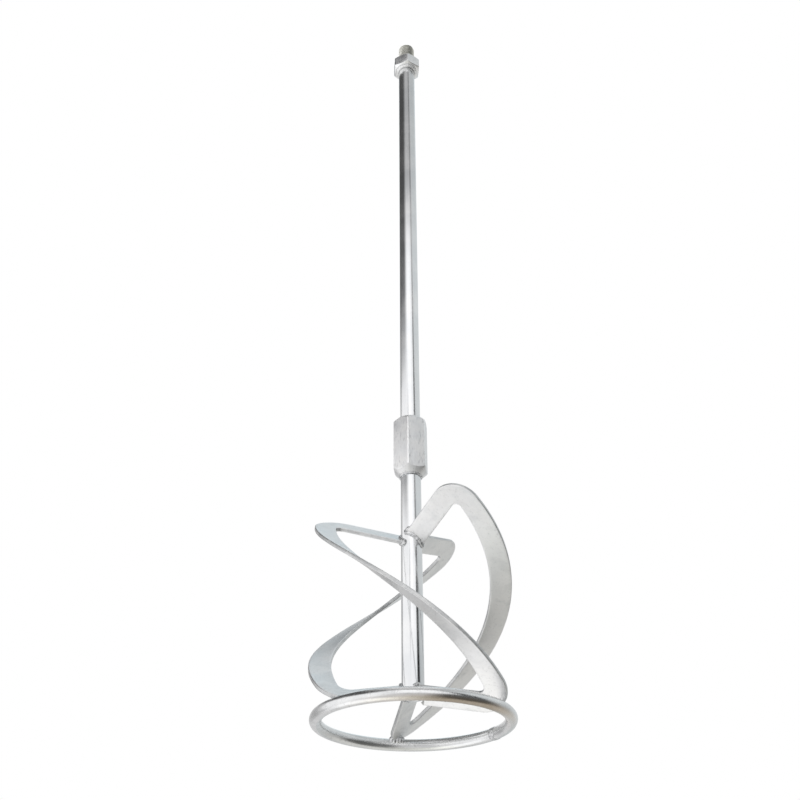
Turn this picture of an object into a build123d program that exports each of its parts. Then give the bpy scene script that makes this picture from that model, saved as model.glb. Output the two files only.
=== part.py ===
from build123d import *
import math
import os

# Mortar mixing paddle, in millimetres. The origin is the centre of the base ring on the plane it
# stands on, +Z runs up the shaft, and the drive thread is at the top.

# Shaft tubes
TUBE_D = 14.0               # outside diameter of both shaft tubes
TUBE_BORE = 10.0
LOWER_TUBE_BOTTOM = 17.2
END_PLUG_H = 4.0

# Hexagon sleeve that joins the two halves of the shaft
HEX_AF = 22.0               # across the flats, for a 22 mm spanner
COUPLING_TURN = -99.0       # azimuth of one corner of the sleeve, in degrees
COUPLING_FACE_D = 19.6      # top face left inside the chamfer that rounds the corners
COUPLING_FOOT_D = 16.4      # bottom face, turned down further for the weld
COUPLING_CHAMFER = 45.0     # slope of both chamfers from the end faces
COUPLING_BOTTOM = 168.7
COUPLING_TOP = 212.8
SOCKET_DEPTH = 20.0         # how far the lower tube goes up into the sleeve
THREAD_PITCH_D = 12.7       # M14 x 2, modelled at its pitch diameter inside the shaft
THREAD_CLEARANCE = 0.05     # radial, between the joint stud and what it turns in
JOINT_THREAD_LENGTH = 22.0
JOINT_BORE_DEPTH = 24.0
SPIGOT_LENGTH = 20.0
EDGE = 0.6                  # small turned chamfers

# Top end
COLLAR_BOTTOM = 589.5
COLLAR_H = 12.0
COLLAR_TURN = -86.0         # azimuth of one corner of the collar
COLLAR_FACE_D = 20.4
COLLAR_CHAMFER = 30.0
COLLAR_SINK = 1.2           # countersink of the bore at the seat face
DRIVE_D = 14.0              # M14 x 2, modelled at its full diameter
DRIVE_SHANK_D = 12.0        # plain shank of the drive stud inside the collar
DRIVE_LENGTH = 19.5         # from the collar's top face to the tip
DRIVE_TIP_CHAMFER = 1.4

# Base ring
WIRE_D = 7.5
RING_R = 58.4               # radius of the wire's centre line
RING_SEAM_AT = 28.0         # azimuth of the butt joint, in degrees
RING_SEAM_WIDTH = 2.0

# Blades: each one is a single flat bar, bent edgewise into a spoke, a helical flight and a spoke
BLADE_AT = (0.0, 120.0, 236.0)      # azimuths as welded: the third sits 4 degrees short
BAR_W = 14.0
BAR_T = 2.5
FLIGHT_R = 64.0             # outside radius of the flight
FLIGHT_PITCH = 286.5        # climb in one whole turn
FLIGHT_TOP = 127.3          # height of the bar's centre where the flight starts
FLIGHT_TURN = 138.2         # degrees from the top end to the bottom end
FLIGHT_START = -50.7        # azimuth of the top end
TOP_ROLL = 5.8              # the bar's outer edge is raised by this many degrees at the top end
BOTTOM_ROLL = (-4.3, -3.4, -2.3)    # and lowered by this at the bottom, where each was set by hand
TOP_BEND_R = 10.7           # bend radius of the bar's centre line at the top corner
BOTTOM_BEND_R = 12.0

# Weld beads
COLLAR_BEAD_LEG = 2.4       # leg of the bead between the collar and the tube below it
COUPLING_BEAD_LEG = 1.2     # leg of the bead between the sleeve and the tube below it
BEAD_CROWN = 0.6            # how far those beads bulge, as a share of the leg
SPOKE_BEAD_R = 2.4
SPOKE_BEAD_OVERHANG = 1.5   # how far the bead runs past each edge of the bar
RING_BEAD_R = 3.2
RING_BEAD_LENGTH = 11.0

TUBE_R = TUBE_D / 2
HEX_CORNER_R = HEX_AF / math.sqrt(3)
BAR_R = FLIGHT_R - BAR_W / 2        # radius of the flight's centre line
SLOPE = math.atan2(FLIGHT_PITCH, 2 * math.pi * BAR_R)
FLIGHT_BOTTOM = FLIGHT_TOP - FLIGHT_PITCH * FLIGHT_TURN / 360
COLLAR_TOP = COLLAR_BOTTOM + COLLAR_H
RING_Z = WIRE_D / 2


def cylinder(diameter, bottom, top):
    """An upright cylinder on the shaft's axis."""
    return Pos(0, 0, bottom) * Cylinder(
        diameter / 2, top - bottom, align=(Align.CENTER, Align.CENTER, Align.MIN)
    )


def turned(points):
    """A solid of revolution about the shaft's axis, from (radius, height) points."""
    outline = Plane.XZ * make_face(Polyline(*points, close=True))
    return revolve(outline, Axis.Z)


def hexagon(bottom, top, corner_azimuth, foot_d, face_d, slope):
    """A hexagon bar whose corners are turned off at both ends, like a nut's."""
    wide = HEX_CORNER_R + 1
    rise = math.tan(math.radians(slope))
    bar = Pos(0, 0, bottom) * Rot(0, 0, corner_azimuth) * extrude(
        RegularPolygon(HEX_CORNER_R, 6), top - bottom
    )
    envelope = turned([
        (0, bottom),
        (foot_d / 2, bottom),
        (wide, bottom + (wide - foot_d / 2) * rise),
        (wide, top - (wide - face_d / 2) * rise),
        (face_d / 2, top),
        (0, top),
    ])
    return bar & envelope


def fillet_bead(height, leg):
    """A ring of weld in the corner between a tube and the hexagon's face above it."""
    corner = (TUBE_R, height)
    on_face = (TUBE_R + leg, height)
    on_tube = (TUBE_R, height - leg)
    crown = (TUBE_R + leg * BEAD_CROWN, height - leg * BEAD_CROWN)
    outline = Plane.XZ * make_face(
        Polyline(on_face, corner, on_tube) + ThreePointArc(on_tube, crown, on_face)
    )
    return revolve(outline, Axis.Z)


def capsule(centre, direction, radius, length):
    """A rounded bead of weld of the given length, centred on a point."""
    half = length / 2 - radius
    rod = Plane(origin=centre, z_dir=direction) * Cylinder(radius, 2 * half)
    start = Pos(*(centre - direction * half)) * Sphere(radius)
    end = Pos(*(centre + direction * half)) * Sphere(radius)
    return rod + start + end


def flight_frame(azimuth, height, roll):
    """A point on the flight's centre line, with the bar's width, downhill and face directions."""
    turn = math.radians(azimuth)
    radial = Vector(math.cos(turn), math.sin(turn), 0)
    level = Vector(-math.sin(turn), math.cos(turn), 0)
    downhill = level * math.cos(SLOPE) - Vector(0, 0, math.sin(SLOPE))
    upright = radial.cross(downhill)
    lean = math.radians(roll)
    width = radial * math.cos(lean) + upright * math.sin(lean)
    return radial * BAR_R + Vector(0, 0, height), width, downhill, width.cross(downhill)


def bar_section(frame, along):
    """The flat bar's cross-section at a frame, facing along the bar."""
    return Plane(origin=frame[0], x_dir=frame[1], z_dir=along) * Rectangle(BAR_W, BAR_T)


def spoke_path(frame, leaving, bend_r):
    """Centre line of a bar's end: an edgewise bend that leaves the flight, then a run inwards."""
    centre, width = frame[0], frame[1]
    plane = Plane(origin=centre, x_dir=leaving, z_dir=leaving.cross(width))
    # where the shaft's axis passes through the plane of the flat bar
    drop = (centre.X * frame[3].X + centre.Y * frame[3].Y) / frame[3].Z
    target = plane.to_local_coords(Vector(0, 0, centre.Z + drop))
    from_bend = math.hypot(target.X, target.Y + bend_r)
    bearing = math.atan2(target.X, target.Y + bend_r) % (2 * math.pi)
    turn = bearing - math.acos(bend_r / from_bend)
    run = math.sqrt(from_bend ** 2 - bend_r ** 2) - TUBE_R / 2
    bend = CenterArc((0, -bend_r), bend_r, 90, -math.degrees(turn))
    line = Line(bend @ 1, (bend @ 1) + (bend % 1) * run)
    return plane * (bend + line)


def blade(top, bottom):
    """One blade, with both spokes cut to the round of the shaft."""
    helix = Pos(0, 0, FLIGHT_BOTTOM) * Rot(0, 0, FLIGHT_START + FLIGHT_TURN) * Helix(
        FLIGHT_PITCH, FLIGHT_TOP - FLIGHT_BOTTOM, BAR_R, lefthand=True
    )
    ends = [bar_section(bottom, -bottom[2]), bar_section(top, -top[2])]
    flight = sweep(ends, path=helix, multisection=True, is_frenet=True)
    upper = sweep(bar_section(top, -top[2]), path=spoke_path(top, -top[2], TOP_BEND_R))
    lower = sweep(bar_section(bottom, bottom[2]), path=spoke_path(bottom, bottom[2], BOTTOM_BEND_R))
    return flight + upper + lower - cylinder(TUBE_D, 0, COUPLING_BOTTOM)


def spoke_weld(frame, leaving, bend_r, bar):
    """Two beads, above and below a spoke, that hold it to the shaft."""
    path = spoke_path(frame, leaving, bend_r)
    tip = path @ 1
    inward = path % 1
    back = (TUBE_R - math.hypot(tip.X, tip.Y)) / math.hypot(inward.X, inward.Y)
    foot = tip - inward * back
    across = frame[3].cross(inward).normalized()
    length = BAR_W + 2 * SPOKE_BEAD_OVERHANG
    bead = capsule(foot, across, SPOKE_BEAD_R, length) - cylinder(TUBE_D, 0, COUPLING_BOTTOM)
    return bead - bar


def ring_weld(bar, ring):
    """A bead along the ring where a blade's lower bend rests on it."""
    on_bar, on_ring = bar.closest_points(ring)
    seat = (on_bar + on_ring) * 0.5
    along = Vector(-seat.Y, seat.X, 0).normalized()
    return capsule(seat, along, RING_BEAD_R, RING_BEAD_LENGTH) - bar - ring


def base_ring():
    """The round wire at the foot, with the gap that its butt weld fills."""
    seam_angle = math.degrees(RING_SEAM_WIDTH / RING_R)
    section = Plane.XZ * Pos(RING_R, RING_Z) * Circle(WIRE_D / 2)
    seam = Rot(0, 0, RING_SEAM_AT) * revolve(section, Axis.Z, seam_angle)
    wire = Rot(0, 0, RING_SEAM_AT + seam_angle) * revolve(section, Axis.Z, 360 - seam_angle)
    return wire, seam


def tube(bottom, top):
    """A length of shaft tube with its outer edges chamfered."""
    return turned([
        (TUBE_BORE / 2, bottom),
        (TUBE_R - EDGE, bottom),
        (TUBE_R, bottom + EDGE),
        (TUBE_R, top - EDGE),
        (TUBE_R - EDGE, top),
        (TUBE_BORE / 2, top),
    ])


def joint_stud():
    """The threaded end that screws down into the sleeve, with the spigot that the tube sits on."""
    thread_r = THREAD_PITCH_D / 2
    spigot_r = TUBE_BORE / 2 - THREAD_CLEARANCE
    tip = COUPLING_TOP - JOINT_THREAD_LENGTH
    spigot_top = COUPLING_TOP + SPIGOT_LENGTH
    return turned([
        (0, tip),
        (thread_r - 2 * EDGE, tip),
        (thread_r, tip + 2 * EDGE),
        (thread_r, COUPLING_TOP),
        (spigot_r, COUPLING_TOP),
        (spigot_r, spigot_top - EDGE),
        (spigot_r - EDGE, spigot_top),
        (0, spigot_top),
    ])


def drive_stud():
    """The thread that screws into the mixer's spindle, with its spigot in the upper tube."""
    spigot_bottom = COLLAR_BOTTOM - SPIGOT_LENGTH
    tip = COLLAR_TOP + DRIVE_LENGTH
    return turned([
        (0, spigot_bottom),
        (TUBE_BORE / 2 - EDGE, spigot_bottom),
        (TUBE_BORE / 2, spigot_bottom + EDGE),
        (TUBE_BORE / 2, COLLAR_BOTTOM),
        (DRIVE_SHANK_D / 2, COLLAR_BOTTOM),
        (DRIVE_SHANK_D / 2, COLLAR_TOP),
        (DRIVE_D / 2, COLLAR_TOP),
        (DRIVE_D / 2, tip - DRIVE_TIP_CHAMFER),
        (DRIVE_D / 2 - DRIVE_TIP_CHAMFER, tip),
        (0, tip),
    ])


def coupling():
    """The long hexagon sleeve: threaded from above, with a socket for the lower tube below."""
    bore_d = THREAD_PITCH_D + 2 * THREAD_CLEARANCE
    thread = cylinder(bore_d, COUPLING_TOP - JOINT_BORE_DEPTH, COUPLING_TOP)
    socket = cylinder(TUBE_D, COUPLING_BOTTOM, COUPLING_BOTTOM + SOCKET_DEPTH)
    sleeve = hexagon(
        COUPLING_BOTTOM, COUPLING_TOP, COUPLING_TURN, COUPLING_FOOT_D, COUPLING_FACE_D, COUPLING_CHAMFER
    )
    return sleeve - thread - socket


def collar():
    """The hexagon nut that the mixer's spindle seats on, its bore countersunk clear of the thread."""
    nut = hexagon(
        COLLAR_BOTTOM, COLLAR_TOP, COLLAR_TURN, COLLAR_FACE_D, COLLAR_FACE_D, COLLAR_CHAMFER
    )
    bore = turned([
        (0, COLLAR_BOTTOM),
        (DRIVE_SHANK_D / 2, COLLAR_BOTTOM),
        (DRIVE_SHANK_D / 2, COLLAR_TOP - COLLAR_SINK),
        (DRIVE_SHANK_D / 2 + COLLAR_SINK, COLLAR_TOP),
        (0, COLLAR_TOP),
    ])
    return nut - bore


def build_parts():
    """Every piece of the paddle by node name."""
    wire, seam = base_ring()
    tube_bottom = LOWER_TUBE_BOTTOM
    parts = {
        "base_ring": wire,
        "ring_butt_weld": seam,
        "lower_tube": tube(tube_bottom, COUPLING_BOTTOM + SOCKET_DEPTH),
        "end_plug": cylinder(TUBE_BORE, tube_bottom, tube_bottom + END_PLUG_H),
        "hex_coupling": coupling(),
        "coupling_weld": fillet_bead(COUPLING_BOTTOM, COUPLING_BEAD_LEG),
        "joint_stud": joint_stud(),
        "upper_tube": tube(COUPLING_TOP, COLLAR_BOTTOM),
        "drive_stud": drive_stud(),
        "top_hex_collar": collar(),
        "collar_weld": fillet_bead(COLLAR_BOTTOM, COLLAR_BEAD_LEG),
    }
    top = flight_frame(FLIGHT_START, FLIGHT_TOP, TOP_ROLL)
    # the lower welds are dressed flush with the shaft's foot
    below_foot = cylinder(2 * FLIGHT_R, 0, tube_bottom)
    for number, (azimuth, roll) in enumerate(zip(BLADE_AT, BOTTOM_ROLL), start=1):
        bottom = flight_frame(FLIGHT_START + FLIGHT_TURN, FLIGHT_BOTTOM, roll)
        bar = blade(top, bottom)
        pieces = {
            "": bar,
            "_top_weld": spoke_weld(top, -top[2], TOP_BEND_R, bar),
            "_bottom_weld": spoke_weld(bottom, bottom[2], BOTTOM_BEND_R, bar) - below_foot,
            "_ring_weld": ring_weld(bar, wire),
        }
        for ending, piece in pieces.items():
            parts[f"blade_{number}{ending}"] = Rot(0, 0, azimuth) * piece
    return parts


os.makedirs("parts", exist_ok=True)
for node, solid in build_parts().items():
    export_step(solid, f"parts/{node}.step")
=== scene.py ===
import math

import bmesh
import bpy
import numpy as np
from mathutils import Matrix, Vector, noise


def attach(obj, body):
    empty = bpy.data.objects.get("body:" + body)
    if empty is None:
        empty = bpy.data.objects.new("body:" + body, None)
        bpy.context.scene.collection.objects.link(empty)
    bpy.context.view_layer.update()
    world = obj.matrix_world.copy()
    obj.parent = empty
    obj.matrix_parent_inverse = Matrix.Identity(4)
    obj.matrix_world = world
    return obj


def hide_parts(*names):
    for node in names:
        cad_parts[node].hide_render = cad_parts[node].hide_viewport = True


# Mortar mixing paddle: the looks. Shapes are worked out in millimetres and put in the frame in
# metres. +Z runs up the shaft, and the camera looks along +Y from below the ring.

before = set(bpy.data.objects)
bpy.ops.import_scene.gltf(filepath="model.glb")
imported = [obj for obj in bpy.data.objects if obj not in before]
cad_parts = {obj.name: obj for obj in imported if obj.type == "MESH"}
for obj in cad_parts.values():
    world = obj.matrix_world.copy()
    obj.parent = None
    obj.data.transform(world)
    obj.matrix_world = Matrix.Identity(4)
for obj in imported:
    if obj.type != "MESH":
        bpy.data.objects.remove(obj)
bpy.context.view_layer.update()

# The design's sizes, in millimetres and degrees
TUBE_R = 7.0
BORE_R = 5.0
TUBE_FOOT = 17.2
PLUG_TOP = 21.2
SLEEVE = dict(bottom=168.7, top=212.8, turn=-99.0, foot_r=8.2, face_r=9.8, slope=45.0)
COLLAR = dict(bottom=589.5, top=601.5, turn=-86.0, foot_r=10.2, face_r=10.2, slope=30.0)
HEX_AF = 22.0
SLEEVE_BORE_R = 6.4
SOCKET_TOP = 188.7
STUD_TIP = 190.8
SHANK_R = 6.0
SPIGOT = 20.0
DRIVE_TIP = 621.0
PITCH = 2.0

WIRE_R = 3.75
RING_R = 58.4
SEAM_AT = 28.0
SEAM_GAP = 2.0
SEAM_TURN = math.degrees(SEAM_GAP / RING_R)

BLADE_AT = (0.0, 120.0, 236.0)
BAR_W = 14.0
BAR_T = 2.5
FLIGHT_R = 64.0
FLIGHT_PITCH = 286.5
FLIGHT_TOP = 127.3
FLIGHT_TURN = 138.2
FLIGHT_START = -50.7
TOP_ROLL = 5.8
BOTTOM_ROLL = (-4.3, -3.4, -2.3)
TOP_BEND_R = 10.7
BOTTOM_BEND_R = 12.0

BAR_R = FLIGHT_R - BAR_W / 2
SLOPE = math.atan2(FLIGHT_PITCH, 2 * math.pi * BAR_R)
FLIGHT_DROP = FLIGHT_PITCH * FLIGHT_TURN / 360


# ---------------------------------------------------------------- mesh building

MERGE_WITHIN = 1e-7         # metres
CORNER_STEPS = 4
LARGEST_CUT = 0.45          # share of a side that a rounded corner may take up


def rough(point, size, seed=0.0):
    """Smooth noise of about -1 to 1 whose lumps are about size millimetres across."""
    return noise.noise(Vector(point) / size + Vector((seed * 7.3, seed * 3.1, seed * 5.7)))


def skin(name, rings, wrap_around=True, wrap_along=False, caps=False, sharp=35.0, second=()):
    """A mesh through rings of points, in millimetres; columns in second get the second material."""
    rings = np.asarray(rings, float)
    count, width = rings.shape[:2]
    mesh = bpy.data.meshes.new(name)
    faces = []
    for i in range(count if wrap_along else count - 1):
        j = (i + 1) % count
        for k in range(width if wrap_around else width - 1):
            m = (k + 1) % width
            faces.append((i * width + k, i * width + m, j * width + m, j * width + k))
    if caps:
        faces.append(tuple(range(width))[::-1])
        faces.append(tuple((count - 1) * width + k for k in range(width)))
    mesh.from_pydata((rings.reshape(-1, 3) / 1000).tolist(), [], faces)
    for polygon in mesh.polygons:
        on_side = len(polygon.vertices) == 4
        polygon.material_index = int(on_side and polygon.vertices[0] % width in second)
    tidy = bmesh.new()
    tidy.from_mesh(mesh)
    bmesh.ops.remove_doubles(tidy, verts=tidy.verts, dist=MERGE_WITHIN)
    bmesh.ops.dissolve_degenerate(tidy, edges=tidy.edges, dist=MERGE_WITHIN)
    bmesh.ops.recalc_face_normals(tidy, faces=tidy.faces)
    for face in tidy.faces:
        face.smooth = True
    tidy.to_mesh(mesh)
    tidy.free()
    mesh.set_sharp_from_angle(angle=math.radians(sharp))
    piece = bpy.data.objects.new(name, mesh)
    bpy.context.scene.collection.objects.link(piece)
    return piece


def soften(points, radius, closed=True):
    """The same outline with its corners rounded."""
    points = [np.array(p, float) for p in points]
    out = []
    for i, corner in enumerate(points):
        if not closed and i in (0, len(points) - 1):
            out.append(corner)
            continue
        before, after = points[i - 1], points[(i + 1) % len(points)]
        shorter = min(np.linalg.norm(before - corner), np.linalg.norm(after - corner))
        reach = min(radius, LARGEST_CUT * shorter)
        start = corner + (before - corner) / np.linalg.norm(before - corner) * reach
        end = corner + (after - corner) / np.linalg.norm(after - corner) * reach
        for t in np.linspace(0, 1, CORNER_STEPS + 1):
            out.append((1 - t) ** 2 * start + 2 * t * (1 - t) * corner + t ** 2 * end)
    return out


def circle(count):
    """Azimuths evenly round a circle, in radians."""
    return np.linspace(0, 2 * math.pi, count, endpoint=False)


def around(radius, height, azimuths):
    """A level ring of points about the shaft's axis."""
    return np.stack([
        radius * np.cos(azimuths),
        radius * np.sin(azimuths),
        np.full(len(azimuths), height),
    ], axis=1)


# ---------------------------------------------------------------- threads

# Across one pitch: a flat crest, a flank, a flat root and a flank
CREST_END = 0.125
ROOT_START = 0.4375
ROOT_END = 0.6875
FLANK = 0.3125
# and where in a pitch the rings fall
PROFILE_STOPS = (0.0, 0.0625, CREST_END, 0.2, 0.36, ROOT_START, 0.52, 0.6, ROOT_END, 0.76, 0.92)
THREAD_AZIMUTHS = np.linspace(0, 2 * math.pi, 97)
RUN_OUT = 1.6               # length over which a thread grows from its shoulder to full height
SPIGOT_TIP_R = 4.4
SPIGOT_CHAMFER = 0.6


def thread_depth(phase):
    """How deep below its crest a metric thread is, from 0 to 1, across one pitch."""
    phase = phase % 1.0
    if phase < CREST_END:
        return 0.0
    if phase < ROOT_START:
        return (phase - CREST_END) / FLANK
    if phase < ROOT_END:
        return 1.0
    return (1.0 - phase) / FLANK


def thread_rings(bottom, top, crest, root, tip_chamfer, tip_at_top=True):
    """Rings of a right-hand thread that follow its helix and stop level at both ends.

    The azimuths run from 0 to a whole turn, where each ring meets the ring one pitch above it.
    """
    turns = int(math.ceil((top - bottom) / PITCH)) + 2
    rings = []
    for turn in range(-1, turns):
        for stop in PROFILE_STOPS:
            ring = []
            for azimuth in THREAD_AZIMUTHS:
                lead = azimuth / (2 * math.pi)
                height = min(max(bottom + (turn + stop + lead) * PITCH, bottom), top)
                from_shoulder = height - bottom if tip_at_top else top - height
                from_tip = top - height if tip_at_top else height - bottom
                fade = min(1.0, from_shoulder / RUN_OUT)
                depth = thread_depth((height - bottom) / PITCH - lead)
                radius = crest - (crest - root) * (1 - fade + fade * depth)
                radius = min(radius, crest - tip_chamfer + from_tip)
                ring.append((radius * math.cos(azimuth), radius * math.sin(azimuth), height))
            rings.append(ring)
    return rings


def drive_stud():
    """The M14 drive thread, with its plain shank and the spigot inside the upper tube."""
    crest, root = 7.0, 5.8
    shank_bottom = COLLAR["bottom"]
    shank_top = COLLAR["top"]
    thread_bottom = shank_top + 0.8
    outline = (
        (0, shank_bottom - SPIGOT),
        (SPIGOT_TIP_R, shank_bottom - SPIGOT),
        (BORE_R, shank_bottom - SPIGOT + SPIGOT_CHAMFER),
        (BORE_R, shank_bottom),
        (SHANK_R, shank_bottom + 0.3),
        (SHANK_R, shank_top - 0.2),
        (root, shank_top),
        (root, thread_bottom),
    )
    rings = [around(r, z, THREAD_AZIMUTHS) for r, z in outline]
    rings += thread_rings(thread_bottom, DRIVE_TIP, crest, root, tip_chamfer=1.5)
    rings += [around(r, DRIVE_TIP, THREAD_AZIMUTHS) for r in (4.2, 2.0, 0)]
    return skin("drive_thread", rings, wrap_around=False)


def joint_stud():
    """The thread of the shaft's joint, with the spigot that holds it in the upper tube."""
    crest, root = 6.34, 5.3
    spigot_r = 4.95
    top = SLEEVE["top"]
    neck = top - 1.4
    outline = (
        (root, neck),
        (root, top),
        (spigot_r, top),
        (spigot_r, top + SPIGOT - SPIGOT_CHAMFER),
        (SPIGOT_TIP_R, top + SPIGOT),
        (0, top + SPIGOT),
    )
    rings = [around(r, STUD_TIP, THREAD_AZIMUTHS) for r in (0, 3.0, 4.6)]
    rings += thread_rings(STUD_TIP, neck, crest, root, tip_chamfer=1.3, tip_at_top=False)
    rings += [around(r, z, THREAD_AZIMUTHS) for r, z in outline]
    return skin("joint_thread", rings, wrap_around=False)


# ---------------------------------------------------------------- hexagons

HEX_CORNER_R = 1.1
HEX_EDGE_R = 0.3
FACE_INSET = 0.35           # how far in from its rim an end face has its first ring
WEAR_DEPTH = 0.05
WEAR_SIZE = 5.0


def hexagon_azimuths(turn):
    """Azimuths that fall closely at the rounded corners and widely over the flats."""
    steps = (-30, -26, -22, -18, -14, -10, -7, -5, -3.6, -2.6, -1.7, -0.8, 0)
    half = list(steps) + [-s for s in steps[-2:0:-1]]
    return np.radians([turn + 60 * side + step for side in range(6) for step in half])


def hexagon_reach(azimuth, turn):
    """Distance from the axis to the hexagon's side, with its corners rounded."""
    from_corner = (math.degrees(azimuth) - turn + 30) % 60 - 30
    centre = (HEX_AF / 2 - HEX_CORNER_R) / math.cos(math.radians(30))
    off = abs(math.radians(from_corner))
    meets = math.atan2(HEX_CORNER_R * 0.5, centre + HEX_CORNER_R * math.cos(math.radians(30)))
    if off < meets:
        return centre * math.cos(off) + math.sqrt(HEX_CORNER_R ** 2 - (centre * math.sin(off)) ** 2)
    return HEX_AF / 2 / math.cos(math.radians(30) - off)


def hexagon(name, inner, bottom, top, turn, foot_r, face_r, slope):
    """A hexagon bar with turned corners; inner is the rest of its section, down the bore."""
    rise = math.tan(math.radians(slope))
    columns = []
    for azimuth in hexagon_azimuths(turn):
        reach = hexagon_reach(azimuth, turn)
        outline = soften([
            (foot_r - FACE_INSET, bottom),
            (foot_r, bottom),
            (reach, bottom + (reach - foot_r) * rise),
            (reach, top - (reach - face_r) * rise),
            (face_r, top),
            (face_r - FACE_INSET, top),
        ], HEX_EDGE_R, closed=False)
        column = []
        for r, z in outline + inner:
            mark = rough((r * math.cos(azimuth) * 1.5, r * math.sin(azimuth) * 1.5, z), WEAR_SIZE, 3)
            wear = WEAR_DEPTH * mark if r > face_r else 0.0
            column.append(((r + wear) * math.cos(azimuth), (r + wear) * math.sin(azimuth), z))
        columns.append(column)
    return skin(name, columns, wrap_along=True)


def joint_sleeve():
    """The sleeve, with its countersunk bore from above and the lower tube's socket from below."""
    top = SLEEVE["top"]
    socket_r = 6.9
    inner = [
        (7.6, top),
        (6.45, top - 1.2),
        (SLEEVE_BORE_R, SOCKET_TOP + 0.1),
        (socket_r, SOCKET_TOP),
        (socket_r, SLEEVE["bottom"]),
    ]
    return hexagon("joint_sleeve", inner, **SLEEVE)


def drive_collar():
    """The collar, countersunk at its top face and bored for the drive stud's shank."""
    top = COLLAR["top"]
    inner = [(7.2, top), (SHANK_R, top - 1.2), (SHANK_R, COLLAR["bottom"])]
    return hexagon("drive_collar", inner, **COLLAR)


# ---------------------------------------------------------------- blades

BAR_CORNER_R = 0.55
FLIGHT_RINGS = 150
BEND_RINGS = 33
SPOKE_RINGS = 29
BEND_SWELL = 0.10           # share by which a bend thickens the bar on its inside
BEND_THIN = 0.06            # and thins it on its outside
SINK = 0.35                 # how far a spoke's end runs into the shaft
LONG_WAVE = dict(depth=0.10, size=22.0)
SHORT_WAVE = dict(depth=0.03, size=6.0)


def flight_frame(azimuth, height, roll):
    """A point on the flight's centre line, with the bar's width, downhill and face directions."""
    turn = math.radians(azimuth)
    radial = np.array((math.cos(turn), math.sin(turn), 0))
    level = np.array((-math.sin(turn), math.cos(turn), 0))
    downhill = level * math.cos(SLOPE) - np.array((0, 0, math.sin(SLOPE)))
    lean = math.radians(roll)
    width = radial * math.cos(lean) + np.cross(radial, downhill) * math.sin(lean)
    return radial * BAR_R + np.array((0, 0, height)), width, downhill, np.cross(width, downhill)


def bar_outline():
    """The flat bar's section, (across, through) points, with rolled edges and no sharp corner."""
    half_w, half_t = BAR_W / 2, BAR_T / 2
    points = []
    for across, through, start in ((1, 1, 0), (-1, 1, 90), (-1, -1, 180), (1, -1, 270)):
        x = across * (half_w - BAR_CORNER_R)
        y = through * (half_t - BAR_CORNER_R)
        for step in range(5):
            a = math.radians(start + step * 22.5)
            points.append((x + BAR_CORNER_R * math.cos(a), y + BAR_CORNER_R * math.sin(a)))
        if across == through:
            points += [(flat_x, through * half_t) for flat_x in np.linspace(x, -x, 12)[1:-1]]
    return np.array(points)


def to_shaft(points, inward, radius):
    """How far each point goes inwards before it is radius from the shaft's axis."""
    a = inward[0] ** 2 + inward[1] ** 2
    b = points[:, 0] * inward[0] + points[:, 1] * inward[1]
    c = points[:, 0] ** 2 + points[:, 1] ** 2 - radius ** 2
    return (-b - np.sqrt(np.maximum(b * b - a * c, 0))) / a


def spoke(flight_end, leaving, bend_r, section):
    """Rings from the flight's end to the shaft, and the inward direction and last bend ring."""
    centre, width, _, face = flight_end
    normal = np.cross(leaving, width)
    drop = (centre[0] * face[0] + centre[1] * face[1]) / face[2]
    aim = np.array((0, 0, centre[2] + drop)) - centre
    ahead, aside = aim @ leaving, aim @ width
    from_bend = math.hypot(ahead, aside + bend_r)
    bearing = math.atan2(ahead, aside + bend_r) % (2 * math.pi)
    turn = bearing - math.acos(bend_r / from_bend)
    sign = 1.0 if normal @ face > 0 else -1.0
    rings = []
    for a in np.linspace(0, turn, BEND_RINGS + 1)[1:]:
        out = math.sin(a) * leaving + math.cos(a) * width
        point = centre + bend_r * (math.sin(a) * leaving + (math.cos(a) - 1) * width)
        upset = math.sin(math.pi * a / turn)
        outward = section[:, 0] / BAR_W + 0.5
        thick = 1 + upset * (BEND_SWELL - (BEND_SWELL + BEND_THIN) * outward)
        rings.append(point + section[:, :1] * out + (section[:, 1] * thick)[:, None] * normal * sign)
    inward = math.cos(turn) * leaving - math.sin(turn) * width
    bend_end = rings[-1]
    lengths = to_shaft(bend_end, inward, TUBE_R - SINK)
    for share in np.linspace(0, 1, SPOKE_RINGS + 1)[1:]:
        rings.append(bend_end + inward * (lengths * share)[:, None])
    return rings, inward, bend_end


def blade(number, azimuth):
    """One blade from its top spoke, down the flight, to its bottom spoke."""
    section = bar_outline()
    flight_end = FLIGHT_START + FLIGHT_TURN
    bottom_roll = BOTTOM_ROLL[number - 1]
    top = flight_frame(azimuth + FLIGHT_START, FLIGHT_TOP, TOP_ROLL)
    bottom = flight_frame(azimuth + flight_end, FLIGHT_TOP - FLIGHT_DROP, bottom_roll)
    upper, upper_in, upper_end = spoke(top, -top[2], TOP_BEND_R, section)
    lower, lower_in, lower_end = spoke(bottom, bottom[2], BOTTOM_BEND_R, section)
    flight = []
    for t in np.linspace(0, 1, FLIGHT_RINGS):
        point, width, _, face = flight_frame(
            azimuth + FLIGHT_START + FLIGHT_TURN * t,
            FLIGHT_TOP - FLIGHT_DROP * t,
            TOP_ROLL + (bottom_roll - TOP_ROLL) * t,
        )
        flight.append(point + section[:, :1] * width + section[:, 1:] * face)
    rings = np.array(upper[::-1] + flight + lower)
    for ring in rings:
        for point in ring:
            long_wave = LONG_WAVE["depth"] * rough(point, LONG_WAVE["size"], number)
            short_wave = SHORT_WAVE["depth"] * rough(point, SHORT_WAVE["size"], number + 4)
            point[2] += long_wave + short_wave
    # the five columns on each of the bar's narrow edges take the second material
    count = len(section)
    edges = [(start + k) % count for start in (0, count // 2) for k in range(-3, 2)]
    piece = skin(f"blade_{number}_bar", rings, caps=True, second=edges)
    return piece, (upper_end, upper_in), (lower_end, lower_in)


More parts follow.
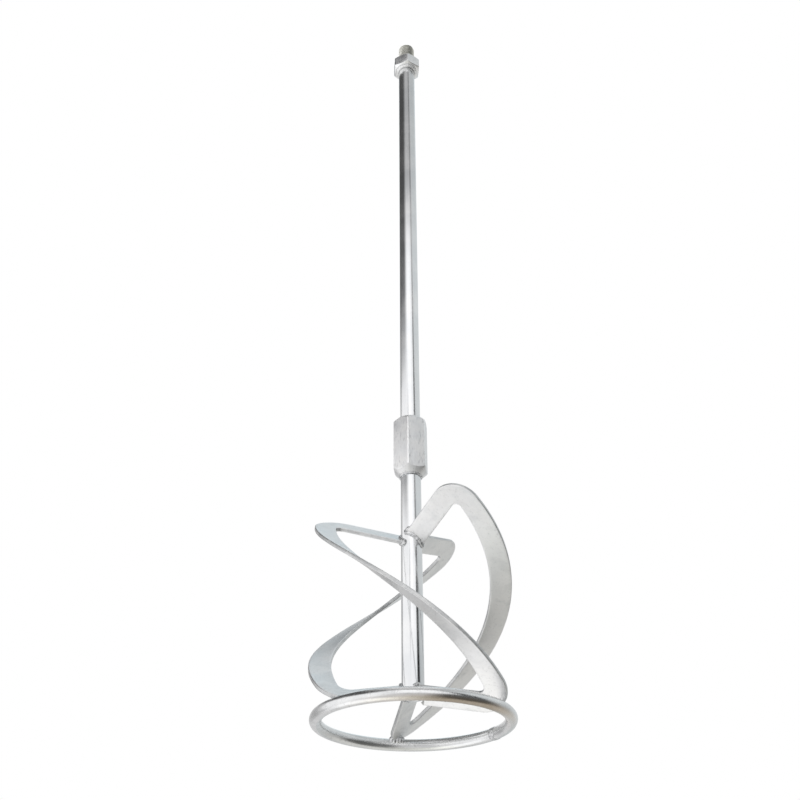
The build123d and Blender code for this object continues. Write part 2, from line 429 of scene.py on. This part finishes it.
# ---------------------------------------------------------------- welds

NO_BEAD_RUNS = (0.13, 0.21, 0.97)   # a direction that no bead runs along
SPOKE_BEAD_R = 1.45
SPOKE_BEAD_CLEAR = 0.15     # how far outside the shaft's surface the bead's middle runs
SPOKE_BEAD_LIFT = 1.0       # and the least height of its middle above the foot
SPOKE_BEAD_STEP = 0.22      # distance from one of its rings to the next
RING_BEAD_R = 2.5
RING_BEAD_PATH_R = 55.6
RING_BEAD_Z = 6.3
RING_BEAD_AT = 100.4        # degrees on from the blade's azimuth
RING_BEAD_REACH = 5.4       # degrees to each side
COLLAR_BEAD_SINK = 0.4      # how far the bead under a hexagon runs into the tube
COLLAR_BEAD_RISE = 0.3      # and into the hexagon


def ripple(distance, step):
    """The overlapping scales of a bead, from 0 to 1, for a distance along it."""
    scale = (distance / step) % 1.0
    return math.sqrt(max(0.0, 1 - (1 - scale) ** 2)) * (1 - 0.35 * scale)


def bead(name, path, radius, seed, step, closed=False, sides=18, floor=None):
    """A lumpy round bead along a path of points."""
    path = np.asarray(path, float)
    count = len(path)
    lengths = np.concatenate([[0], np.cumsum(np.linalg.norm(np.diff(path, axis=0), axis=1))])
    rings = []
    for i, point in enumerate(path):
        before = path[i - 1] if i or closed else path[i]
        after = path[(i + 1) % count] if i < count - 1 or closed else path[i]
        along = after - before
        along = along / np.linalg.norm(along)
        side = np.cross(along, NO_BEAD_RUNS)
        side = side / np.linalg.norm(side)
        up = np.cross(side, along)
        taper = 1.0
        if not closed:
            share = i / (count - 1)
            taper = max(0.0, 1 - (2 * share - 1) ** 4) ** 0.5
        size = radius * taper * (0.9 + 0.16 * ripple(lengths[i], step) + 0.12 * rough(point, 4.5, seed))
        ring = []
        for a in circle(sides):
            spot = point + size * (math.cos(a) * side + math.sin(a) * up)
            spot = spot + (spot - point) * 0.16 * rough(spot, 1.6, seed + 2)
            if floor is not None:
                spot[2] = max(spot[2], floor)
            ring.append(spot)
        rings.append(ring)
    return skin(name, rings, wrap_along=closed, caps=not closed, sharp=60.0)


def spoke_weld(name, bend_end, inward, seed):
    """A bead round the end of a spoke where it meets the shaft, dressed flush with the foot."""
    rim = bend_end + inward * to_shaft(bend_end, inward, TUBE_R + SPOKE_BEAD_CLEAR)[:, None]
    rim[:, 2] = np.maximum(rim[:, 2], TUBE_FOOT + SPOKE_BEAD_LIFT)
    loop = []
    for i, start in enumerate(rim):
        step = rim[(i + 1) % len(rim)] - start
        parts = max(1, int(round(np.linalg.norm(step) / SPOKE_BEAD_STEP)))
        for k in range(parts):
            loop.append(start + step * k / parts)
    return bead(name, loop, SPOKE_BEAD_R, seed, step=1.6, closed=True, floor=TUBE_FOOT)


def collar_bead(name, height, leg, seed):
    """A ring of weld in the corner under a hexagon."""
    centre_r = TUBE_R + leg * 0.42
    centre_z = height - leg * 0.42
    up = np.array((0, 0, 1))
    rings = []
    for azimuth in circle(220):
        out = np.array((math.cos(azimuth), math.sin(azimuth), 0))
        centre = np.array((centre_r * math.cos(azimuth), centre_r * math.sin(azimuth), centre_z))
        arc = azimuth * (TUBE_R + leg / 2)
        size = leg * (0.46 + 0.10 * ripple(arc, 1.5) + 0.08 * rough(centre, 3.0, seed))
        ring = []
        for a in circle(16):
            p = centre + size * (math.cos(a) * out + math.sin(a) * up)
            reach = max(math.hypot(p[0], p[1]), TUBE_R - COLLAR_BEAD_SINK)
            p[0], p[1] = reach * math.cos(azimuth), reach * math.sin(azimuth)
            p[2] = min(p[2], height + COLLAR_BEAD_RISE)
            ring.append(p)
        rings.append(ring)
    return skin(name, rings, wrap_along=True, sharp=60.0)


def ring_weld(name, azimuth, seed):
    """A short bead where a blade's lower bend rests on the ring."""
    path = []
    for share in np.linspace(-1, 1, 46):
        a = math.radians(azimuth + RING_BEAD_AT + share * RING_BEAD_REACH)
        path.append((RING_BEAD_PATH_R * math.cos(a), RING_BEAD_PATH_R * math.sin(a), RING_BEAD_Z))
    return bead(name, path, RING_BEAD_R, seed, step=2.0, sides=20)


# ---------------------------------------------------------------- ring

WANDER = 0.12               # how far the hand-bent ring strays inside its true circle, on average
SEAM_REACH = 3.4            # degrees from the middle of the butt weld to each end of its bead
SEAM_SWELL = 0.42


def ring_wire():
    """The round wire of the base ring, open where its butt weld sits."""
    start = math.radians(SEAM_AT + SEAM_TURN)
    rings = []
    for a in np.linspace(start, start + 2 * math.pi - math.radians(SEAM_TURN), 300):
        stray = WANDER * rough((40 * math.cos(a), 40 * math.sin(a), 0), 30, 9)
        ring = []
        for b in circle(48):
            r = RING_R - WANDER + stray * 0.9 + WIRE_R * math.cos(b)
            ring.append((r * math.cos(a), r * math.sin(a), WIRE_R + WIRE_R * math.sin(b)))
        rings.append(ring)
    return skin("ring_wire", rings, caps=True)


def ring_seam():
    """The butt weld that closes the ring, dressed flush underneath."""
    rings = []
    sections = 40
    for i in range(sections + 1):
        share = 2 * i / sections - 1
        a = math.radians(SEAM_AT + SEAM_TURN / 2 + share * SEAM_REACH)
        swell = SEAM_SWELL * (1 - share * share) ** 0.6 * (0.75 + 0.25 * ripple(i * 0.18, 1.5))
        ring = []
        for b in circle(40):
            lump = swell * (0.75 + 0.35 * rough((9 * math.cos(b), 9 * math.sin(b), i * 0.5), 3.5, 12))
            size = WIRE_R - 0.05 + lump
            r = RING_R + size * math.cos(b)
            z = max(WIRE_R + size * math.sin(b), 0.03)
            ring.append((r * math.cos(a), r * math.sin(a), z))
        rings.append(ring)
    return skin("ring_seam_bead", rings, caps=True, sharp=60.0)


# ---------------------------------------------------------------- materials

class Graph:
    """Short calls for building a node tree."""

    def __init__(self, tree):
        self.tree = tree
        tree.nodes.clear()

    def add(self, kind, **settings):
        """A new node with these settings."""
        node = self.tree.nodes.new(kind)
        for key, value in settings.items():
            setattr(node, key, value)
        return node

    def feed(self, socket, value):
        """Links an output to the socket, or sets a plain value; None leaves it alone."""
        if isinstance(value, bpy.types.NodeSocket):
            self.tree.links.new(value, socket)
        elif value is not None:
            socket.default_value = value

    def math(self, operation, a, b=None):
        node = self.add("ShaderNodeMath", operation=operation)
        for socket, value in zip(node.inputs, (a, b)):
            self.feed(socket, value)
        return node.outputs[0]

    def plus(self, a, b):
        return self.math("ADD", a, b)

    def minus(self, a, b):
        return self.math("SUBTRACT", a, b)

    def times(self, a, b):
        return self.math("MULTIPLY", a, b)

    def step(self, value, low, high, start=0.0, end=1.0):
        """A smooth change from start to end as value goes from low to high."""
        node = self.add("ShaderNodeMapRange", interpolation_type="SMOOTHSTEP")
        for socket, v in zip(node.inputs, (value, low, high, start, end)):
            self.feed(socket, v)
        return node.outputs[0]

    def mix(self, share, a, b, blend="MIX"):
        """Colour a where share is 0 and b where it is 1."""
        node = self.add("ShaderNodeMix", data_type="RGBA", blend_type=blend)
        self.feed(node.inputs[0], share)
        for socket, value in ((node.inputs[6], a), (node.inputs[7], b)):
            if isinstance(value, tuple) and len(value) == 3:
                value = (*value, 1.0)
            self.feed(socket, value)
        return node.outputs[2]

    def axes(self, coordinate="Object"):
        """The x, y and z of a texture coordinate."""
        node = self.add("ShaderNodeSeparateXYZ")
        self.feed(node.inputs[0], self.add("ShaderNodeTexCoord").outputs[coordinate])
        return node.outputs

    def place(self, stretch):
        """The piece's own coordinates, scaled along each axis."""
        coordinates = self.add("ShaderNodeTexCoord")
        mapping = self.add("ShaderNodeMapping")
        mapping.inputs["Scale"].default_value = stretch
        self.feed(mapping.inputs["Vector"], coordinates.outputs["Object"])
        return mapping.outputs[0]

    def noise(self, size, detail=3.0, roughness=0.55, distortion=0.0, stretch=(1, 1, 1)):
        """Noise whose lumps are about size millimetres across."""
        node = self.add("ShaderNodeTexNoise")
        self.feed(node.inputs["Vector"], self.place(stretch))
        node.inputs["Scale"].default_value = 1000 / size
        node.inputs["Detail"].default_value = detail
        node.inputs["Roughness"].default_value = roughness
        node.inputs["Distortion"].default_value = distortion
        return node.outputs["Fac"]

    def bump(self, height, depth, under=None):
        """A normal from a height of depth millimetres, laid over another one if under is given."""
        node = self.add("ShaderNodeBump")
        node.inputs["Distance"].default_value = depth / 1000
        self.feed(node.inputs["Height"], height)
        if under is not None:
            self.feed(node.inputs["Normal"], under)
        return node.outputs[0]


def metal(graph, colour, roughness, normal):
    """Finishes a metal material from its colour, roughness and bump."""
    shader = graph.add("ShaderNodeBsdfPrincipled")
    shader.inputs["Metallic"].default_value = 1.0
    graph.feed(shader.inputs["Base Color"], colour)
    graph.feed(shader.inputs["Roughness"], roughness)
    graph.feed(shader.inputs["Normal"], normal)
    output = graph.add("ShaderNodeOutputMaterial")
    graph.feed(output.inputs["Surface"], shader.outputs[0])


def new_material(name):
    """An empty material and the graph to build it with."""
    material = bpy.data.materials.new(name)
    material.use_nodes = True
    return material, Graph(material.node_tree)


def bright_zinc():
    """Drawn tube under bright plating: near mirror, with long faint draw lines."""
    material, g = new_material("bright_zinc")
    draw = g.noise(0.9, 2.0, stretch=(1, 1, 0.012))
    cloud = g.noise(26, 3.0)
    fine = g.noise(1.1, 2.0)
    colour = g.mix(g.step(cloud, 0.35, 0.68), (0.80, 0.815, 0.83), (0.90, 0.905, 0.91))
    colour = g.mix(g.step(draw, 0.55, 0.75, 0.0, 0.35), colour, (0.72, 0.73, 0.745))
    roughness = g.plus(g.step(cloud, 0.3, 0.7, 0.13, 0.20), g.step(fine, 0.55, 0.8, 0.0, 0.08))
    normal = g.bump(draw, 0.016)
    normal = g.bump(g.noise(9, 2.0, stretch=(1, 1, 0.25)), 0.05, under=normal)
    metal(g, colour, roughness, normal)
    return material


def ring_zinc():
    """Round wire under plating, with handling marks and a painted warm, dark reflection low down at the
    front right.
    """
    material, g = new_material("ring_zinc")
    cloud = g.noise(14, 4.0)
    marks = g.noise(2.6, 4.0, 0.7, 0.8)
    fine = g.noise(0.8, 3.0, 0.6)
    colour = g.mix(g.step(cloud, 0.35, 0.65), (0.78, 0.79, 0.795), (0.90, 0.905, 0.905))
    colour = g.mix(g.step(marks, 0.54, 0.70, 0.0, 0.55), colour, (0.64, 0.645, 0.64))
    colour = g.mix(g.step(fine, 0.58, 0.72, 0.0, 0.4), colour, (0.56, 0.565, 0.56))
    x, y, z = g.axes()
    # the painted reflection fades with the turn from its middle, in radians, and with the height, in
    # metres
    painted_reflection_at = 0.52
    turn = g.math("ARCTAN2", x, g.times(y, -1.0))
    from_painted_reflection = g.math("ABSOLUTE", g.minus(turn, painted_reflection_at))
    # the lower half of the wire, where the reflection is painted
    under = g.step(z, 0.0010, 0.0034, 1.0, 0.0)
    # a pale warm painted reflection across the front right of the underside
    tan = g.times(g.step(from_painted_reflection, 0.50, 1.30, 0.7, 0.0), under)
    colour = g.mix(tan, colour, (0.86, 0.79, 0.72))
    # and a dark brown painted reflection at its middle, broken up a little by the handling marks
    painted_dark_reflection = g.times(g.step(from_painted_reflection, 0.20, 0.75, 1.0, 0.0), under)
    painted_dark_reflection = g.times(painted_dark_reflection, g.step(marks, 0.30, 0.55, 0.75, 1.0))
    colour = g.mix(painted_dark_reflection, colour, (0.48, 0.41, 0.33))
    roughness = g.plus(g.step(cloud, 0.3, 0.7, 0.19, 0.29), g.step(marks, 0.5, 0.75, 0.0, 0.14))
    normal = g.bump(marks, 0.07)
    normal = g.bump(fine, 0.02, under=normal)
    metal(g, colour, roughness, normal)
    return material


def satin_zinc(name, corner_turn, smoothest):
    """Drawn hexagon bar under satin plating: streaky lengthwise, scratched, worn bright at the corners.

    corner_turn is the azimuth of one corner, and smoothest the least roughness of the faces.
    """
    material, g = new_material(name)
    grain = g.noise(0.7, 4.0, 0.65, stretch=(1, 1, 0.10))
    scratch = g.noise(0.9, 2.0, 0.5, 0.4, stretch=(1, 1, 0.16))
    blot = g.noise(4.0, 4.0, 0.6, 1.0, stretch=(1, 1, 0.5))
    cloud = g.noise(11, 3.0)
    colour = g.mix(g.step(cloud, 0.35, 0.68), (0.90, 0.91, 0.92), (0.985, 0.985, 0.98))
    colour = g.mix(g.step(blot, 0.54, 0.72, 0.0, 0.45), colour, (0.79, 0.805, 0.82))
    colour = g.mix(g.step(scratch, 0.62, 0.70, 0.0, 0.55), colour, (0.50, 0.51, 0.52))
    colour = g.mix(g.step(grain, 0.55, 0.75, 0.0, 0.28), colour, (0.76, 0.77, 0.78))
    x, y, _ = g.axes()
    turn = g.minus(g.math("ARCTAN2", y, x), math.radians(corner_turn))
    # radians from the nearest corner, where the plating is worn
    from_corner = g.math("PINGPONG", g.plus(turn, 4 * math.pi), math.radians(30))
    worn = g.step(from_corner, 0.035, 0.085, 1.0, 0.0)
    worn = g.times(worn, g.step(blot, 0.40, 0.55, 1.0, 0.45))
    colour = g.mix(worn, colour, (0.99, 0.99, 0.99))
    roughness = g.step(cloud, 0.3, 0.7, smoothest, smoothest + 0.10)
    roughness = g.plus(roughness, g.step(grain, 0.45, 0.75, 0.0, 0.10))
    roughness = g.times(roughness, g.minus(1.0, g.times(worn, 0.45)))
    normal = g.bump(blot, 0.16)
    normal = g.bump(grain, 0.05, under=normal)
    normal = g.bump(scratch, 0.04, under=normal)
    metal(g, colour, roughness, normal)
    return material


def cloudy_zinc():
    """Hot-rolled flat bar under dull plating: cloudy, speckled and a little uneven."""
    material, g = new_material("cloudy_zinc")
    cloud = g.noise(30, 4.0, 0.6, 0.5)
    patch = g.noise(11, 4.0, 0.58, 0.5)
    speck = g.noise(1.5, 4.0, 0.7)
    pits = g.noise(0.9, 2.0)
    colour = g.mix(g.step(cloud, 0.36, 0.66), (0.89, 0.895, 0.895), (0.98, 0.98, 0.975))
    colour = g.mix(g.step(patch, 0.50, 0.70, 0.0, 0.50), colour, (0.78, 0.79, 0.795))
    colour = g.mix(g.step(speck, 0.55, 0.70, 0.0, 0.42), colour, (0.66, 0.67, 0.67))
    roughness = g.plus(g.step(cloud, 0.3, 0.7, 0.36, 0.48), g.step(speck, 0.5, 0.8, 0.0, 0.12))
    normal = g.bump(patch, 0.06)
    normal = g.bump(speck, 0.04, under=normal)
    normal = g.bump(pits, 0.02, under=normal)
    metal(g, colour, roughness, normal)
    return material


def sheared_zinc():
    """The bar's narrow edges: darker and rougher, with marks across from shearing."""
    material, g = new_material("sheared_zinc")
    cloud = g.noise(9, 4.0, 0.6)
    tear = g.noise(0.8, 3.0, 0.65)
    colour = g.mix(g.step(cloud, 0.35, 0.66), (0.60, 0.61, 0.615), (0.80, 0.805, 0.80))
    colour = g.mix(g.step(tear, 0.55, 0.72, 0.0, 0.45), colour, (0.45, 0.455, 0.46))
    roughness = g.plus(g.step(cloud, 0.3, 0.7, 0.36, 0.46), g.step(tear, 0.5, 0.8, 0.0, 0.12))
    normal = g.bump(tear, 0.05)
    metal(g, colour, roughness, normal)
    return material


def thread_steel():
    """Cut threads under thin plating: slightly olive, with dark grime flecks, painted shade in the roots
    and a painted highlight on the crests.
    """
    material, g = new_material("thread_steel")
    cloud = g.noise(5, 4.0, 0.6, 0.6)
    grime = g.noise(1.2, 4.0, 0.7)
    colour = g.mix(g.step(cloud, 0.35, 0.66), (0.50, 0.50, 0.45), (0.74, 0.74, 0.69))
    colour = g.mix(g.step(grime, 0.58, 0.76, 0.0, 0.30), colour, (0.38, 0.38, 0.35))
    x, y, _ = g.axes()
    from_axis = g.math("SQRT", g.plus(g.math("POWER", x, 2.0), g.math("POWER", y, 2.0)))
    # painted shade in the roots and a painted highlight on the crests, by metres from the axis
    # painted shade: the thread's roots are darkened
    root = g.step(from_axis, 0.0060, 0.0067, 0.88, 0.0)
    colour = g.mix(root, colour, (0.13, 0.125, 0.11))
    # painted highlight: the thread's crests are brightened
    crest = g.step(from_axis, 0.0067, 0.0070, 0.0, 0.7)
    colour = g.mix(crest, colour, (0.86, 0.86, 0.82))
    roughness = g.plus(g.step(cloud, 0.3, 0.7, 0.24, 0.36), g.step(grime, 0.5, 0.8, 0.0, 0.14))
    normal = g.bump(grime, 0.03)
    metal(g, colour, roughness, normal)
    return material


def weld_zinc():
    """Weld beads under plating: lumpy, with dull pits and dark specks."""
    material, g = new_material("weld_zinc")
    lump = g.noise(1.7, 4.0, 0.65, 0.8)
    pits = g.noise(1.1, 2.0, 0.6)
    colour = g.mix(g.step(lump, 0.38, 0.60), (0.58, 0.59, 0.60), (0.92, 0.925, 0.93))
    colour = g.mix(g.step(pits, 0.57, 0.68, 0.0, 0.85), colour, (0.12, 0.125, 0.13))
    roughness = g.plus(g.step(lump, 0.3, 0.7, 0.28, 0.42), g.step(pits, 0.5, 0.8, 0.0, 0.2))
    normal = g.bump(lump, 0.14)
    normal = g.bump(pits, 0.05, under=normal)
    metal(g, colour, roughness, normal)
    return material


# ---------------------------------------------------------------- the paddle

bright, wire = bright_zinc(), ring_zinc()
satin = satin_zinc("satin_zinc", SLEEVE["turn"], 0.36)
bright_hexagon = satin_zinc("bright_hexagon", COLLAR["turn"], 0.25)
cloudy, sheared = cloudy_zinc(), sheared_zinc()
threads, weld = thread_steel(), weld_zinc()


def fit(piece, body, nodes, material):
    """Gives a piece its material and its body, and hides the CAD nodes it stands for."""
    piece.data.materials.append(material)
    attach(piece, body)
    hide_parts(*nodes)


LOWER, UPPER = "lower_paddle", "upper_shaft"
TUBE_EDGE_R = 0.5


def shaft_tube(name, bottom, top):
    """A length of the shaft's tube with its cut ends smoothed."""
    outline = [(BORE_R, bottom), (TUBE_R, bottom), (TUBE_R, top), (BORE_R, top)]
    rings = [around(r, z, circle(128)) for r, z in soften(outline, TUBE_EDGE_R)]
    return skin(name, rings, wrap_along=True)


def end_plug():
    """The plug welded into the foot of the shaft, slightly hollow at its middle."""
    height = PLUG_TOP - TUBE_FOOT
    rim = ((BORE_R, 0.9), (BORE_R, height), (0, height))
    rings = []
    for r, rise in ((0, 0.9), (1.4, 0.8), (2.6, 0.5), (3.6, 0.15), (4.3, 0.1), (4.8, 0.4)) + rim:
        ring = around(r, TUBE_FOOT + rise, circle(64))
        if 0 < r < BORE_R:
            for point in ring:
                point[2] += 0.12 * rough(point, 1.8, 15)
        rings.append(ring)
    return skin("end_plug_disc", rings, sharp=60.0)


fit(ring_wire(), LOWER, ["base_ring"], wire)
fit(ring_seam(), LOWER, ["ring_butt_weld"], weld)
fit(shaft_tube("lower_shaft_tube", TUBE_FOOT, SOCKET_TOP), LOWER, ["lower_tube"], bright)
fit(end_plug(), LOWER, ["end_plug"], cloudy)
fit(joint_sleeve(), LOWER, ["hex_coupling"], satin)
fit(collar_bead("sleeve_bead", SLEEVE["bottom"], 1.2, 21), LOWER, ["coupling_weld"], weld)
fit(joint_stud(), "joint_stud", ["joint_stud"], threads)
fit(shaft_tube("upper_shaft_tube", SLEEVE["top"], COLLAR["bottom"]), UPPER, ["upper_tube"], bright)
fit(drive_stud(), UPPER, ["drive_stud"], threads)
fit(drive_collar(), UPPER, ["top_hex_collar"], bright_hexagon)
fit(collar_bead("collar_bead", COLLAR["bottom"], 2.4, 22), UPPER, ["collar_weld"], cloudy)

for number, azimuth in enumerate(BLADE_AT, start=1):
    bar, upper_end, lower_end = blade(number, azimuth)
    fit(bar, LOWER, [f"blade_{number}"], cloudy)
    bar.data.materials.append(sheared)
    top_bead = spoke_weld(f"blade_{number}_top_bead", *upper_end, 30 + number)
    fit(top_bead, LOWER, [f"blade_{number}_top_weld"], weld)
    bottom_bead = spoke_weld(f"blade_{number}_bottom_bead", *lower_end, 40 + number)
    fit(bottom_bead, LOWER, [f"blade_{number}_bottom_weld"], weld)
    ring_bead = ring_weld(f"blade_{number}_ring_bead", azimuth, 50 + number)
    fit(ring_bead, LOWER, [f"blade_{number}_ring_weld"], weld)


# ---------------------------------------------------------------- studio

def studio_world():
    """A white studio; what the metal reflects has softer and darker sides, set by direction."""
    world = bpy.data.worlds.new("studio")
    world.use_nodes = True
    g = Graph(world.node_tree)
    x, y, z = g.axes("Generated")
    degree = 180 / math.pi
    side = g.times(g.math("ARCTAN2", x, g.times(y, -1.0)), degree)
    climb = g.times(g.math("ARCSINE", z), degree)

    def blend(share, start, end):
        """start where share is 0 and end where it is 1."""
        rest = g.times(start, g.minus(1.0, share))
        return g.plus(rest, g.times(share, end))

    def apart(turn, rise):
        """Degrees between the direction looked in and one given by its side and climb."""
        turn, rise = math.radians(turn), math.radians(rise)
        toward = (math.sin(turn) * math.cos(rise), -math.cos(turn) * math.cos(rise), math.sin(rise))
        parts = [g.times(axis, part) for axis, part in zip((x, y, z), toward)]
        dot = g.plus(g.plus(parts[0], parts[1]), parts[2])
        return g.times(g.math("ARCCOSINE", g.math("MINIMUM", dot, 0.99999)), degree)

    # in front: a wide white screen, brightest near its top, which ends overhead and low down
    front = g.step(climb, 38, 48, 1.06, 0.45)
    glow = g.times(g.step(apart(-6, 33), 26, 10, 0.0, 0.16), g.step(climb, 40, 46, 1, 0))
    front = g.plus(front, glow)
    low = g.times(g.step(side, -40, -12), g.step(climb, -14, 6, 1, 0))
    level = blend(low, front, 0.58)
    # on the right: a grey wall, behind a narrow dark gap
    gap_at = g.minus(55.0, g.times(g.minus(climb, 19.0), 0.72))
    past = g.minus(side, gap_at)
    wall = blend(g.step(climb, 38, 52), g.step(climb, -5, 36, 0.50, 0.72), 0.54)
    level = blend(g.step(past, 0, 10), level, wall)
    # behind: grey, with a darker panel at the back left
    level = blend(g.step(side, -158, -140, 1, 0), level, 0.70)
    level = blend(g.times(g.step(side, 120, 150), g.step(climb, -30, 0)), level, 0.70)
    panel = g.times(g.step(side, -158, -146), g.step(side, -122, -110, 1, 0))
    panel = g.times(panel, g.step(g.math("ABSOLUTE", climb), 24, 40, 1, 0))
    level = blend(panel, level, 0.44)
    # high on the left it is dark
    window = g.times(g.step(side, -168, -150), g.step(side, -62, -22, 1, 0))
    dark = g.plus(g.step(climb, 28, 31, 0.0, 0.60), g.step(climb, 31, 38, 0.0, 0.34))
    level = blend(g.times(window, dark), level, 0.05)
    # a thin dark line in the front screen, and the dark gap itself, which is wider low down
    line = g.step(g.math("ABSOLUTE", g.plus(side, 22.0)), 3, 8, 0.5, 0)
    line = g.times(line, g.times(g.step(climb, 12, 16), g.step(climb, 23, 26, 1, 0)))
    level = blend(line, level, 0.0)
    off_gap = g.math("ABSOLUTE", g.plus(past, 2.0))
    off_gap = g.minus(off_gap, g.step(climb, 17, 23, 5.0, 0.0))
    near = g.times(g.step(off_gap, 4, 12, 1, 0), g.step(climb, 20, 46, 0.98, 0.5))
    level = blend(g.times(near, g.step(climb, -10, 5)), level, 0.0)
    # a white patch behind, and grey overhead
    level = blend(g.step(apart(180, 31), 21, 8), level, 1.0)
    level = blend(g.step(climb, 60, 75), level, 0.72)
    # below: grey, with a bright patch on the left and dark at the front right
    level = blend(g.step(climb, -16, -40, 0, 1), level, 0.70)
    level = blend(g.step(apart(-100, -55), 40, 12), level, 1.27)
    level = blend(g.step(apart(64, -27), 46, 27, 0, 0.80), level, 0.0)
    level = blend(g.step(apart(68, -73), 15, 5, 0, 0.45), level, 0.2)

    # faint tints: cool on the right and behind, warm low on the right and underneath
    tint = g.mix(g.step(side, 20, 70), (1.0, 0.995, 1.0), (0.965, 1.0, 1.01))
    tint = g.mix(g.step(apart(110, -55), 70, 30, 0, 1), tint, (1.01, 1.0, 0.965))
    tint = g.mix(g.step(apart(-40, -84), 32, 14, 0, 1), tint, (1.01, 1.01, 0.95))
    tint = g.mix(g.step(apart(178, 51), 28, 6, 0, 1), tint, (0.87, 1.0, 1.07))
    colour = g.mix(1.0, tint, level, "MULTIPLY")
    seen = g.add("ShaderNodeLightPath").outputs["Is Camera Ray"]
    colour = g.mix(seen, colour, (1.0, 1.0, 1.0))
    background = g.add("ShaderNodeBackground")
    g.feed(background.inputs["Color"], colour)
    g.feed(g.add("ShaderNodeOutputWorld").inputs["Surface"], background.outputs[0])
    bpy.context.scene.world = world


def floor():
    """A plain pale floor that fades into the white; it is clear from below, as the photo needs."""
    mesh = bpy.data.meshes.new("floor")
    half, level = 1.6, -0.0003
    fade_start, fade_end = 0.25, 1.5
    corners = [(-half, -half, level), (half, -half, level), (half, half, level), (-half, half, level)]
    mesh.from_pydata(corners, [], [(0, 1, 2, 3)])
    piece = bpy.data.objects.new("floor", mesh)
    bpy.context.scene.collection.objects.link(piece)
    material, g = new_material("floor")
    paper = g.add("ShaderNodeBsdfDiffuse")
    paper.inputs["Color"].default_value = (0.93, 0.925, 0.92, 1)
    reach = g.add("ShaderNodeVectorMath", operation="LENGTH")
    g.feed(reach.inputs[0], g.add("ShaderNodeTexCoord").outputs["Object"])
    fade = g.step(reach.outputs["Value"], fade_start, fade_end)
    below = g.add("ShaderNodeNewGeometry").outputs["Backfacing"]
    mixer = g.add("ShaderNodeMixShader")
    g.feed(mixer.inputs[0], g.math("MAXIMUM", fade, below))
    g.feed(mixer.inputs[1], paper.outputs[0])
    g.feed(mixer.inputs[2], g.add("ShaderNodeBsdfTransparent").outputs[0])
    g.feed(g.add("ShaderNodeOutputMaterial").inputs["Surface"], mixer.outputs[0])
    mesh.materials.append(material)
    piece.visible_glossy = False
    piece.visible_diffuse = False


def lamp():
    """A broad soft light overhead for the floor; the metal takes its light from the studio."""
    light = bpy.data.lights.new("overhead", "AREA")
    light.shape = "DISK"
    light.size = 1.8
    light.energy = 26
    above = bpy.data.objects.new("overhead", light)
    toward_paddle = Vector((0.4, 0.3, -2.1))
    above.location = (-0.4, -0.3, 2.4)
    above.rotation_euler = toward_paddle.to_track_quat("-Z", "Y").to_euler()
    above.visible_glossy = False
    bpy.context.scene.collection.objects.link(above)


def camera():
    """The photograph's viewpoint: in front of the paddle and below its ring, looking up."""
    place = (-0.00722, -0.59398, -0.15010)
    climb, roll = 32.717, -0.224
    lens = bpy.data.cameras.new("camera")
    lens.lens = 44.04
    lens.sensor_width = 36.0
    lens.clip_start = 0.01
    view = bpy.data.objects.new("camera", lens)
    aim = Matrix.Rotation(math.radians(90 + climb), 4, "X") @ Matrix.Rotation(math.radians(roll), 4, "Z")
    view.matrix_world = Matrix.Translation(place) @ aim
    bpy.context.scene.collection.objects.link(view)
    bpy.context.scene.camera = view


studio_world()
floor()
lamp()
camera()
bpy.context.scene.view_settings.view_transform = "Standard"
